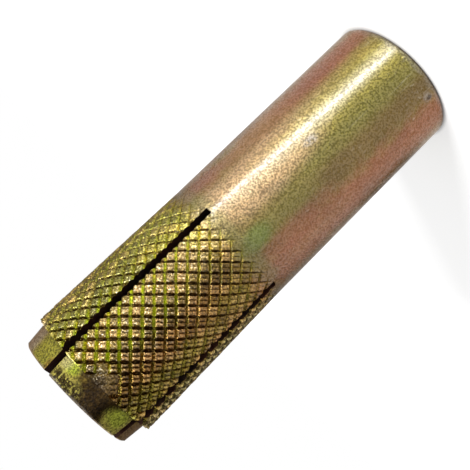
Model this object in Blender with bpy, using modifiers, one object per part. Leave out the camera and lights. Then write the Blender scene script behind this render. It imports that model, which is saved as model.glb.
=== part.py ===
"""Drop-in anchor for an M12 bolt and a 16 mm hole: a knurled, slotted sleeve with its expander plug.

The anchor stands on its mouth, the threaded end, with the split end up. The origin is the middle of the
mouth face and +Z runs along the bore. The nose is the short cone past the knurl, at the split end.
"""
import math

import bmesh
import bpy

MM = 0.001

# Sleeve, bore: a thread's core at the mouth, and a taper that narrows to the tip
THREAD_DIAMETER = 12.0 * MM
THREAD_PITCH = 1.75 * MM
COUNTERSINK_RIM = 0.45 * MM
TAPER_LENGTH = 21.0 * MM
TAPER_NARROWING = 1.45 * MM
TIP_BORE_CHAMFER = 0.3 * MM

# Sleeve, outside: the wall is what stands outside the thread's nominal diameter
LENGTH = 50.0 * MM
WALL = 1.875 * MM
MOUTH_CHAMFER = 0.25 * MM
NOSE_LENGTH = 2.6 * MM
NOSE_STEP = 0.34 * MM
NOSE_NARROWING = 0.3 * MM
TIP_CHAMFER = 0.15 * MM

# Knurl: raised diamonds, low and wide at the shank and tall and narrow at the nose. Its grooves are rolled
# to one depth below the shank, and its diamonds stand out past the shank.
KNURL_LENGTH = 20.2 * MM
KNURL_CELLS_AROUND = 31
KNURL_ROWS = 13
KNURL_GROOVE_DEPTH = 0.12 * MM
KNURL_SHANK_RISE = 0.03 * MM
KNURL_NOSE_RISE = 0.36 * MM
KNURL_WALL_ANGLE = math.radians(50.0)
KNURL_RUN_OUT = 3.2 * MM
KNURL_BED = 0.3 * MM

# Bare patch, where the knurl was never rolled up to the nose
PATCH_AZIMUTH = math.radians(-35.0)
PATCH_WIDTH = 3.4 * MM
PATCH_LENGTH = 2.3 * MM

# Two saw cuts through the whole diameter make the four legs; the second is sawn off square, as on the real one
SLOT_LENGTH = 22.7 * MM
SLOT_WIDTH = 0.8 * MM
SLOT_ANGLES = (0.0, math.radians(-84.0))

# Expander plug, wedged where the bore starts to narrow
PLUG_LENGTH = 15.0 * MM
PLUG_SHOULDER_LENGTH = 5.0 * MM
PLUG_CLEARANCE = 0.3 * MM
PLUG_CHAMFER = 0.4 * MM

# Facets round the axis
SLEEVE_STEPS = 96
PLUG_STEPS = 48

MERGE_DISTANCE = 0.00001
SHARP_ANGLE = math.radians(25.0)

# Metric profile: the thread's core is this many pitches less than its nominal diameter
CORE_PITCHES = 1.0825

BORE_RADIUS = (THREAD_DIAMETER - CORE_PITCHES * THREAD_PITCH) / 2
SHANK_RADIUS = THREAD_DIAMETER / 2 + WALL
KNURL_ROOT_RADIUS = SHANK_RADIUS - KNURL_GROOVE_DEPTH
TAPER_START = LENGTH - TAPER_LENGTH
NOSE_START = LENGTH - NOSE_LENGTH
KNURL_START = NOSE_START - KNURL_LENGTH


def clear_scene():
    """Remove every object, so that the model stands alone."""
    for thing in list(bpy.data.objects):
        bpy.data.objects.remove(thing, do_unlink=True)


def new_collection(name):
    """Add a collection to the scene."""
    collection = bpy.data.collections.new(name)
    bpy.context.scene.collection.children.link(collection)
    return collection


def metal(name, colour, roughness):
    """A plated or bright metal as a Principled material."""
    material = bpy.data.materials.new(name)
    material.use_nodes = True
    shader = material.node_tree.nodes["Principled BSDF"]
    shader.inputs["Base Color"].default_value = (*colour, 1.0)
    shader.inputs["Roughness"].default_value = roughness
    shader.inputs["Metallic"].default_value = 1.0
    material.diffuse_color = (*colour, 1.0)
    return material


def on_cylinder(radius, azimuth, height):
    """The point at a radius, an azimuth and a height."""
    return (radius * math.cos(azimuth), radius * math.sin(azimuth), height)


def move_to_radius(vert, radius):
    """Slide a vertex along its own radius."""
    scale = radius / math.hypot(vert.co.x, vert.co.y)
    vert.co.x *= scale
    vert.co.y *= scale


def link_mesh(bm, name, collection):
    """Turn a bmesh into an object in the collection."""
    mesh = bpy.data.meshes.new(name)
    bm.to_mesh(mesh)
    bm.free()
    thing = bpy.data.objects.new(name, mesh)
    collection.objects.link(thing)
    return thing


def turned(name, outline, steps, closed, collection):
    """Turn a profile of (radius, height) points about the axis with a Screw modifier."""
    bm = bmesh.new()
    verts = [bm.verts.new((radius, 0.0, height)) for radius, height in outline]
    for first, second in zip(verts, verts[1:]):
        bm.edges.new((first, second))
    if closed:
        bm.edges.new((verts[-1], verts[0]))
    thing = link_mesh(bm, name, collection)
    screw = thing.modifiers.new("Turn", "SCREW")
    screw.axis = "Z"
    screw.angle = math.tau
    screw.steps = steps
    screw.render_steps = steps
    screw.use_merge_vertices = True
    screw.merge_threshold = MERGE_DISTANCE
    return thing


def combine(thing, tool, operation):
    """Join a tool's solid to the piece, or cut it out, and leave flat triangles for the next one."""
    tool.hide_render = True
    tool.display_type = "WIRE"
    boolean = thing.modifiers.new(tool.name, "BOOLEAN")
    boolean.operation = operation
    boolean.solver = "EXACT"
    boolean.object = tool
    thing.modifiers.new("Facets", "TRIANGULATE")


def finish_piece(thing, material):
    """Apply the modifiers, shade the round faces smooth and give the piece its material."""
    bpy.context.view_layer.update()
    depsgraph = bpy.context.evaluated_depsgraph_get()
    mesh = bpy.data.meshes.new_from_object(thing.evaluated_get(depsgraph))
    thing.modifiers.clear()
    thing.data = mesh
    mesh.name = thing.name
    mesh.shade_smooth()
    mesh.set_sharp_from_angle(angle=SHARP_ANGLE)
    mesh.materials.clear()
    mesh.materials.append(material)


def bore_radius(height):
    """The bore's radius: the thread's core up to the taper, then narrower towards the tip."""
    along = max(0.0, height - TAPER_START) / TAPER_LENGTH
    return BORE_RADIUS - TAPER_NARROWING * along


def nose_radius(height):
    """The nose's radius: a cone that narrows to the tip."""
    along = (height - NOSE_START) / NOSE_LENGTH
    return SHANK_RADIUS - NOSE_STEP - NOSE_NARROWING * along


def sleeve_blank(collection):
    """The turned blank, with its bore, and a bed under the knurl for the diamonds to stand on."""
    bed = KNURL_ROOT_RADIUS - KNURL_BED
    mouth_bore = THREAD_DIAMETER / 2 + COUNTERSINK_RIM
    outer = [
        (nose_radius(LENGTH) - TIP_CHAMFER, LENGTH),
        (nose_radius(LENGTH - TIP_CHAMFER), LENGTH - TIP_CHAMFER),
        (nose_radius(NOSE_START - KNURL_BED), NOSE_START - KNURL_BED),
        (bed, NOSE_START - 2 * KNURL_BED),
        (bed, KNURL_START + KNURL_RUN_OUT),
        (SHANK_RADIUS, KNURL_START),
        (SHANK_RADIUS, MOUTH_CHAMFER),
        (SHANK_RADIUS - MOUTH_CHAMFER, 0.0),
    ]
    inner = [
        (mouth_bore, 0.0),
        (bore_radius(0.0), mouth_bore - bore_radius(0.0)),
        (bore_radius(TAPER_START), TAPER_START),
        (bore_radius(LENGTH - TIP_BORE_CHAMFER), LENGTH - TIP_BORE_CHAMFER),
        (bore_radius(LENGTH) + TIP_BORE_CHAMFER, LENGTH),
    ]
    return turned("anchor_sleeve", outer + inner, SLEEVE_STEPS, True, collection)


def diamond_height(height):
    """How tall the diamonds are, from the grooves: they grow evenly from the shank to the nose."""
    along = (height - KNURL_START) / KNURL_LENGTH
    return KNURL_GROOVE_DEPTH + KNURL_SHANK_RISE + (KNURL_NOSE_RISE - KNURL_SHANK_RISE) * along


def in_bare_patch(point):
    """Whether a point of the knurl lies in the patch that was never rolled."""
    azimuth = math.atan2(point.y, point.x) - PATCH_AZIMUTH
    azimuth = math.remainder(azimuth, math.tau)
    across = azimuth * KNURL_ROOT_RADIUS / (PATCH_WIDTH / 2)
    along = (NOSE_START - point.z) / PATCH_LENGTH
    return math.hypot(across, along) < 1.0


def knurl_lattice(bm):
    """Wrap a grid round the axis and turn its squares into diamonds; return the diamonds.

    Poking a square adds its centre. Dissolving the grid's own edges then leaves one diamond across each
    edge, with its corners at the ends of the edge and at the two centres.
    """
    bmesh.ops.create_grid(bm, x_segments=KNURL_CELLS_AROUND, y_segments=KNURL_ROWS, size=0.5)
    for vert in bm.verts:
        azimuth = vert.co.x * math.tau
        height = KNURL_START + (vert.co.y + 0.5) * KNURL_LENGTH
        vert.co = on_cylinder(KNURL_ROOT_RADIUS, azimuth, height)
    bmesh.ops.remove_doubles(bm, verts=bm.verts, dist=MERGE_DISTANCE)
    grid_edges = [edge for edge in bm.edges if not edge.is_boundary]
    centres = bmesh.ops.poke(bm, faces=list(bm.faces))["verts"]
    for vert in centres:
        move_to_radius(vert, KNURL_ROOT_RADIUS)
    bmesh.ops.dissolve_edges(bm, edges=grid_edges, use_verts=False)
    return [face for face in bm.faces if len(face.verts) == 4]


def raise_diamonds(bm, diamonds):
    """Inset each diamond and lift its top; the groove between two tops has walls at one angle."""
    for diamond in diamonds:
        centre = diamond.calc_center_median()
        if in_bare_patch(centre):
            continue
        rise = diamond_height(centre.z)
        bmesh.ops.inset_individual(bm, faces=[diamond], thickness=rise / math.tan(KNURL_WALL_ANGLE))
        for vert in diamond.verts:
            move_to_radius(vert, KNURL_ROOT_RADIUS + diamond_height(vert.co.z))


def knurl_band(collection):
    """The knurled skin, closed to a ring that is sunk into the blank's bed."""
    bm = bmesh.new()
    diamonds = knurl_lattice(bm)
    raise_diamonds(bm, diamonds)
    rims = [edge for edge in bm.edges if edge.is_boundary]
    extruded = bmesh.ops.extrude_edge_only(bm, edges=rims)["geom"]
    inner_verts = [part for part in extruded if isinstance(part, bmesh.types.BMVert)]
    inner_edges = [part for part in extruded if isinstance(part, bmesh.types.BMEdge) and part.is_boundary]
    for vert in inner_verts:
        move_to_radius(vert, KNURL_ROOT_RADIUS - 2 * KNURL_BED)
    bmesh.ops.bridge_loops(bm, edges=inner_edges)
    bmesh.ops.recalc_face_normals(bm, faces=bm.faces)
    return link_mesh(bm, "knurl_band", collection)


def saw_cut(number, angle, collection):
    """The slab that one pass of the saw takes out, through both walls and past the tip."""
    bm = bmesh.new()
    bmesh.ops.create_cube(bm, size=1.0)
    reach = 2 * (SHANK_RADIUS + KNURL_NOSE_RISE + SLOT_WIDTH)
    depth = SLOT_LENGTH + SLOT_WIDTH
    bmesh.ops.scale(bm, vec=(reach, SLOT_WIDTH, depth), verts=bm.verts)
    cut = link_mesh(bm, f"saw_cut_{number}", collection)
    cut.location.z = LENGTH - SLOT_LENGTH + depth / 2
    cut.rotation_euler.z = angle
    return cut


def build_sleeve(parts, tools):
    """The sleeve: a turned blank with its knurl rolled on and its legs sawn apart."""
    sleeve = sleeve_blank(parts)
    combine(sleeve, knurl_band(tools), "UNION")
    for number, angle in enumerate(SLOT_ANGLES, start=1):
        combine(sleeve, saw_cut(number, angle, tools), "DIFFERENCE")
    finish_piece(sleeve, metal("yellow_zinc", (0.62, 0.50, 0.20), 0.32))


def build_plug(parts):
    """The expander plug: a shoulder in the parallel bore and a cone that matches the taper."""
    bottom = TAPER_START - PLUG_SHOULDER_LENGTH
    top = bottom + PLUG_LENGTH
    shoulder = bore_radius(TAPER_START) - PLUG_CLEARANCE
    tip = bore_radius(top) - PLUG_CLEARANCE
    chamfer_foot = bore_radius(top - PLUG_CHAMFER) - PLUG_CLEARANCE
    outline = [
        (0.0, top - bottom),
        (tip - PLUG_CHAMFER, top - bottom),
        (chamfer_foot, top - bottom - PLUG_CHAMFER),
        (shoulder, TAPER_START - bottom),
        (shoulder, PLUG_CHAMFER),
        (shoulder - PLUG_CHAMFER, 0.0),
        (0.0, 0.0),
    ]
    plug = turned("expander_plug", outline, PLUG_STEPS, False, parts)
    plug.location.z = bottom
    finish_piece(plug, metal("bright_steel", (0.55, 0.54, 0.52), 0.35))


def main():
    """Build the anchor."""
    clear_scene()
    parts = new_collection("drop_in_anchor")
    tools = new_collection("tools")
    build_sleeve(parts, tools)
    build_plug(parts)


if __name__ == "__main__":
    main()
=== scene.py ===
"""Looks of a drop-in anchor: a yellow zinc plated sleeve with a rolled knurl, sawn legs and a steel plug.

The anchor stands on its mouth, with the split tip up, and the camera is rolled so that the tip points to the
lower left of the picture. Lengths are in metres, and a "side" is an angle round the axis from the camera.
"""
import logging
import math
from dataclasses import dataclass, field
from enum import Enum

import bpy
import numpy as np
from mathutils import Matrix, Vector


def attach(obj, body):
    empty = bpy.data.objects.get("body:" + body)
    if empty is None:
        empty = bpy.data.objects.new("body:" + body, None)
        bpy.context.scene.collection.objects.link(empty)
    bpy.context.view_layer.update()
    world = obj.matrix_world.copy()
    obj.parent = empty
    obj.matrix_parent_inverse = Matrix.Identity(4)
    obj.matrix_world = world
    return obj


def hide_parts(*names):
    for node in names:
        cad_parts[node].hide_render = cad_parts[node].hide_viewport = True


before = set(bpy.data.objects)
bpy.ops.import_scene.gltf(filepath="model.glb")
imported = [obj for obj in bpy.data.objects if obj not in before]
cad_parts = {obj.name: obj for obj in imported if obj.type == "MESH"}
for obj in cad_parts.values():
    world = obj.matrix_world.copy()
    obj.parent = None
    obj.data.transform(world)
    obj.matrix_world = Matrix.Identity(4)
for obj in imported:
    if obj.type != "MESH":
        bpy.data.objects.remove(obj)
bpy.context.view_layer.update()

MM = 0.001
FULL_TURN = 2.0 * math.pi
Colour = tuple[float, float, float]
Socket = bpy.types.NodeSocket

log = logging.getLogger("anchor")


class Slot(Enum):
    """The material slots that the record names."""

    PLATED = "yellow_zinc"
    BRIGHT = "bright_steel"


class Body(Enum):
    """The bodies that the pieces ride on."""

    SLEEVE = "sleeve"
    PLUG = "plug"


@dataclass(frozen=True)
class ViewPoint:
    """Where the camera stands, measured round the anchor's axis."""

    azimuth: float = math.radians(-28.5)
    distance: float = 82.72 * MM
    height: float = 40.45 * MM
    look_down: float = math.radians(9.935)
    aim_aside: float = math.radians(0.05)
    roll: float = math.radians(-134.528)
    focal_pixels: float = 752.7
    picture_pixels: float = 470.0
    sensor: float = 36.0

    def orientation(self) -> Matrix:
        """The camera's axes: level and aimed at the bore's axis first, then rolled about its line of sight.

        Returns:
            A rotation whose columns are the camera's right, up and backward axes.
        """
        heading = self.azimuth + math.pi - self.aim_aside
        level = math.cos(self.look_down)
        forward = Vector((level * math.cos(heading), level * math.sin(heading), -math.sin(self.look_down)))
        right = forward.cross(Vector((0.0, 0.0, 1.0))).normalized()
        up = right.cross(forward)
        turned_right = math.cos(self.roll) * right + math.sin(self.roll) * up
        turned_up = math.cos(self.roll) * up - math.sin(self.roll) * right
        return Matrix((turned_right, turned_up, -forward)).transposed()

    def place(self) -> bpy.types.Object:
        """Add the camera.

        Returns:
            The camera object, which is also the scene's camera.
        """
        data = bpy.data.cameras.new("camera")
        data.sensor_width = self.sensor
        data.lens = self.focal_pixels / self.picture_pixels * self.sensor
        data.clip_start = 1.0 * MM
        camera = bpy.data.objects.new("camera", data)
        stand = Vector((math.cos(self.azimuth), math.sin(self.azimuth), 0.0)) * self.distance
        stand.z = self.height
        camera.matrix_world = Matrix.Translation(stand) @ self.orientation().to_4x4()
        bpy.context.scene.collection.objects.link(camera)
        bpy.context.scene.camera = camera
        return camera


VIEW = ViewPoint()


@dataclass(frozen=True)
class Noise:
    """A noise's frequency per metre, its octaves, the share that each keeps, and a scale for each axis."""

    scale: float
    detail: float = 2.0
    roughness: float = 0.5
    stretch: tuple[float, float, float] | None = None


class Pattern(Enum):
    """The noises that the finishes read; an axis scaled by less than 1 draws its noise out."""

    CLOUD = Noise(330.0, 3.0, 0.55, (1.0, 1.0, 0.55))
    GRAIN = Noise(4400.0, 2.0, 0.6)
    SPECKS = Noise(2100.0, 3.0, 0.65, (1.0, 1.0, 0.5))
    SPECKED_PLACES = Noise(190.0)
    SCRATCHES = Noise(3600.0, 1.0, 0.5, (1.0, 1.0, 0.035))
    SCRATCHED_PLACES = Noise(420.0, 1.0, 0.5, (1.0, 1.0, 0.3))
    RAGGED_EDGE = Noise(640.0, 3.0, 0.6, (1.0, 1.0, 0.7))
    MOTTLE = Noise(3000.0, 3.0, 0.65)
    SPECKLE = Noise(5000.0, 2.0, 0.7)
    GROOVE_LIGHT_DRIFT = Noise(260.0, 1.0)
    SAW_MARKS = Noise(2600.0, 2.0, 0.6, (0.25, 0.25, 1.0))
    CUT_SHADE = Noise(260.0)


@dataclass(frozen=True)
class Step:
    """A smooth step: where it starts and ends, and the numbers before and after it."""

    low: float
    high: float
    before: float = 0.0
    after: float = 1.0


class Graph:
    """Adds shader nodes to a tree in few words."""

    def __init__(self, tree: bpy.types.NodeTree) -> None:
        """Keep the tree.

        Args:
            tree: a material's or a group's node tree.
        """
        self.tree = tree

    def node(self, kind: str, **settings: object) -> bpy.types.Node:
        """Add a node.

        Args:
            kind: the node's type name, without "ShaderNode".
            settings: the node's own properties.

        Returns:
            The new node.
        """
        made = self.tree.nodes.new("ShaderNode" + kind)
        for name, value in settings.items():
            setattr(made, name, value)
        return made

    def put(self, socket: Socket, value: object) -> None:
        """Link a socket to an input, or set the input's number or colour.

        Args:
            socket: the input.
            value: a socket, a number, or a tuple of numbers.
        """
        if isinstance(value, bpy.types.NodeSocket):
            self.tree.links.new(value, socket)
        elif isinstance(value, tuple) and socket.type == "RGBA":
            socket.default_value = (*value, 1.0)
        else:
            socket.default_value = value

    def fill(self, node: bpy.types.Node, values: dict[str, object]) -> None:
        """Put a value into each named input of a node."""
        for name, value in values.items():
            self.put(node.inputs[name], value)

    def math(self, operation: str, *values: object, clamp: bool = False) -> Socket:
        """Add a Math node.

        Args:
            operation: its operation.
            values: its inputs, as sockets or numbers.
            clamp: whether to hold the result between 0 and 1.

        Returns:
            The result.
        """
        made = self.node("Math", operation=operation, use_clamp=clamp)
        for socket, value in zip(made.inputs, values):
            self.put(socket, value)
        return made.outputs[0]

    def ramp(self, value: object, low: float, high: float, start: float = 0.0, end: float = 1.0) -> Socket:
        """A smooth step from one number to another.

        Args:
            value: what is mapped.
            low: where the step starts.
            high: where the step ends.
            start: the result below it.
            end: the result past it.

        Returns:
            The result.
        """
        made = self.node("MapRange", interpolation_type="SMOOTHSTEP")
        self.fill(made, {"Value": value, "From Min": low, "From Max": high, "To Min": start, "To Max": end})
        return made.outputs["Result"]

    def step(self, value: Socket, step: Step) -> Socket:
        """A smooth step with fixed numbers."""
        return self.ramp(value, step.low, step.high, step.before, step.after)

    def between(self, mask: Socket, off: float, on: float) -> Socket:
        """One number where a mask is 0 and another where it is 1."""
        return self.ramp(mask, 0.0, 1.0, off, on)

    def blend(self, share: object, first: object, second: object, way: str = "MIX") -> Socket:
        """Mix two colours.

        Args:
            share: how much of the second shows.
            first: a colour.
            second: a colour.
            way: the blend type.

        Returns:
            The mixed colour.
        """
        made = self.node("Mix", data_type="RGBA", blend_type=way)
        self.put(made.inputs["Factor"], share)
        self.put(made.inputs[6], first)
        self.put(made.inputs[7], second)
        return made.outputs[2]

    def shaded(self, colour: object, value: Socket) -> Socket:
        """A colour times a number.

        Args:
            colour: the colour.
            value: the number.

        Returns:
            The product.
        """
        grey = self.node("CombineColor")
        for socket in grey.inputs:
            self.put(socket, value)
        return self.blend(1.0, colour, grey.outputs["Color"], "MULTIPLY")

    def noise(self, vector: Socket, pattern: Pattern) -> Socket:
        """A noise texture's value, between 0 and 1.

        Args:
            vector: where it is read.
            pattern: which noise.

        Returns:
            The noise.
        """
        kind = pattern.value
        if kind.stretch is not None:
            mapping = self.node("Mapping")
            self.put(mapping.inputs["Vector"], vector)
            mapping.inputs["Scale"].default_value = kind.stretch
            vector = mapping.outputs["Vector"]
        made = self.node("TexNoise")
        self.fill(made, {"Vector": vector, "Scale": kind.scale, "Detail": kind.detail,
                         "Roughness": kind.roughness})
        return made.outputs["Fac"]

    def height_of(self, vector: Socket) -> Socket:
        """A vector's third number.

        Args:
            vector: the vector.

        Returns:
            Its Z.
        """
        split = self.node("SeparateXYZ")
        self.put(split.inputs[0], vector)
        return split.outputs["Z"]

    def bump(self, shader: bpy.types.Node, height: Socket, depth: float) -> None:
        """Let a height turn a shader's normal.

        Args:
            shader: the shader.
            height: the height.
            depth: what its step from 0 to 1 stands for, in metres.
        """
        made = self.node("Bump")
        made.inputs["Distance"].default_value = depth
        self.put(made.inputs["Height"], height)
        self.put(shader.inputs["Normal"], made.outputs["Normal"])

    def attribute(self, name: str) -> Socket:
        """Read a number that the mesh keeps at its points."""
        return self.node("Attribute", attribute_name=name).outputs["Fac"]

    def group(self, tree: bpy.types.NodeTree, **values: object) -> bpy.types.Node:
        """Place a node group.

        Args:
            tree: the group.
            values: its inputs, by name.

        Returns:
            The group node.
        """
        made = self.node("Group", node_tree=tree)
        self.fill(made, values)
        return made

    def vector(self, operation: str, *values: object) -> bpy.types.Node:
        """Add a Vector Math node.

        Args:
            operation: its operation.
            values: its inputs, as sockets or tuples.

        Returns:
            The node.
        """
        made = self.node("VectorMath", operation=operation)
        for socket, value in zip(made.inputs, values):
            self.put(socket, value)
        return made


def open_group(name: str, inputs: dict[str, str],
               outputs: dict[str, str]) -> tuple[Graph, dict[str, Socket], bpy.types.Node]:
    """Start a shader node group.

    Args:
        name: the group's name.
        inputs: the kind of each input, by name.
        outputs: the kind of each output, by name.

    Returns:
        A graph on its tree, its inputs by name, and its output node.
    """
    tree = bpy.data.node_groups.new(name, "ShaderNodeTree")
    for label, kind in inputs.items():
        tree.interface.new_socket(label, in_out="INPUT", socket_type="NodeSocket" + kind)
    for label, kind in outputs.items():
        tree.interface.new_socket(label, in_out="OUTPUT", socket_type="NodeSocket" + kind)
    given = tree.nodes.new("NodeGroupInput")
    result = tree.nodes.new("NodeGroupOutput")
    return Graph(tree), {label: given.outputs[label] for label in inputs}, result


def open_material(name: str) -> tuple[bpy.types.Material, Graph, bpy.types.Node]:
    """Start a material.

    Args:
        name: the material's name.

    Returns:
        The material, a graph on its tree, and its shader.
    """
    material = bpy.data.materials.new(name)
    material.use_nodes = True
    return material, Graph(material.node_tree), material.node_tree.nodes["Principled BSDF"]


def srgb(red: float, green: float, blue: float) -> Colour:
    """A screen's colour as linear light.

    Args:
        red: its red, from 0 to 255.
        green: its green.
        blue: its blue.

    Returns:
        The colour, from 0 to 1.
    """
    shares = np.array((red, green, blue)) / 255.0
    return tuple(float(share) for share in np.where(shares <= 0.04045, shares / 12.92,
                                                    ((shares + 0.055) / 1.055) ** 2.4))


@dataclass(frozen=True)
class SleeveSizes:
    """The sleeve's sizes, as the solid has them, and the thread's flats and fading in pitches."""

    length: float = 50.0 * MM
    shank_radius: float = 7.875 * MM
    countersink_radius: float = 6.45 * MM
    thread_radius: float = 6.0 * MM
    core_radius: float = 5.053 * MM
    pitch: float = 1.75 * MM
    thread_end: float = 20.5 * MM
    thread_crest: float = 0.25
    thread_floor: float = 0.125
    thread_fade: float = 1.2
    taper_start: float = 29.0 * MM
    taper_narrowing: float = 1.45 * MM
    tip_bore_chamfer: float = 0.3 * MM
    slot_start: float = 27.3 * MM
    slot_width: float = 0.8 * MM
    nose_start: float = 47.4 * MM
    nose_step: float = 0.34 * MM
    nose_narrowing: float = 0.3 * MM
    tip_chamfer: float = 0.15 * MM
    slot_degrees: tuple[float, ...] = (-84.0, 0.0, 96.0, 180.0, 276.0)

    def bore(self, height: np.ndarray) -> np.ndarray:
        """The bore's radius: the core up to the taper, then evenly narrower, with a chamfer at the tip.

        Args:
            height: heights above the mouth.

        Returns:
            The radius at each height.
        """
        along = np.clip(height - self.taper_start, 0.0, None) / (self.length - self.taper_start)
        chamfer = np.clip(height - (self.length - self.tip_bore_chamfer), 0.0, None)
        return self.core_radius - self.taper_narrowing * along + chamfer

    def nose(self, height: np.ndarray) -> np.ndarray:
        """The nose's radius: a cone one step below the shank, with a chamfer at the tip.

        Args:
            height: heights above the mouth.

        Returns:
            The radius at each height.
        """
        along = (height - self.nose_start) / (self.length - self.nose_start)
        chamfer = np.clip(height - (self.length - self.tip_chamfer), 0.0, None)
        return self.shank_radius - self.nose_step - self.nose_narrowing * along - chamfer

    def thread(self, height: np.ndarray, azimuth: np.ndarray) -> np.ndarray:
        """The threaded bore's radius: a right-hand V with flats that rises one pitch a turn and fades out.

        Args:
            height: heights above the mouth, as a column.
            azimuth: azimuths, as a row.

        Returns:
            The radius at each height and azimuth, no less than the countersink's.
        """
        turns = height / self.pitch - azimuth / FULL_TURN
        across = 2.0 * np.abs(turns - np.floor(turns) - 0.5)
        slope = 1.0 - self.thread_crest - self.thread_floor
        share = np.clip((1.0 - self.thread_crest - across) / slope, 0.0, 1.0)
        depth = share * (self.thread_radius - self.core_radius)
        fade = np.clip((self.thread_end - height) / (self.thread_fade * self.pitch), 0.0, 1.0)
        return np.maximum(self.bore(height) + depth * fade, self.countersink_radius - height)


SLEEVE = SleeveSizes()


def smooth(share: np.ndarray) -> np.ndarray:
    """A smooth step of shares held between 0 and 1."""
    held = np.clip(share, 0.0, 1.0)
    return held * held * (3.0 - 2.0 * held)


def bell(off: np.ndarray, spread: float) -> np.ndarray:
    """A bell curve: e to the minus square of how far off over the spread."""
    return np.exp(-((off / spread) ** 2))


def turned(azimuth: np.ndarray, centre: float) -> np.ndarray:
    """The angle from a centre to each azimuth, between minus and plus half a turn."""
    return np.remainder(azimuth - centre + math.pi, FULL_TURN) - math.pi


def all_round(columns: int) -> np.ndarray:
    """Even azimuths once round the axis, as a row."""
    return np.linspace(0.0, FULL_TURN, columns, endpoint=False)[None, :]


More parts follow.
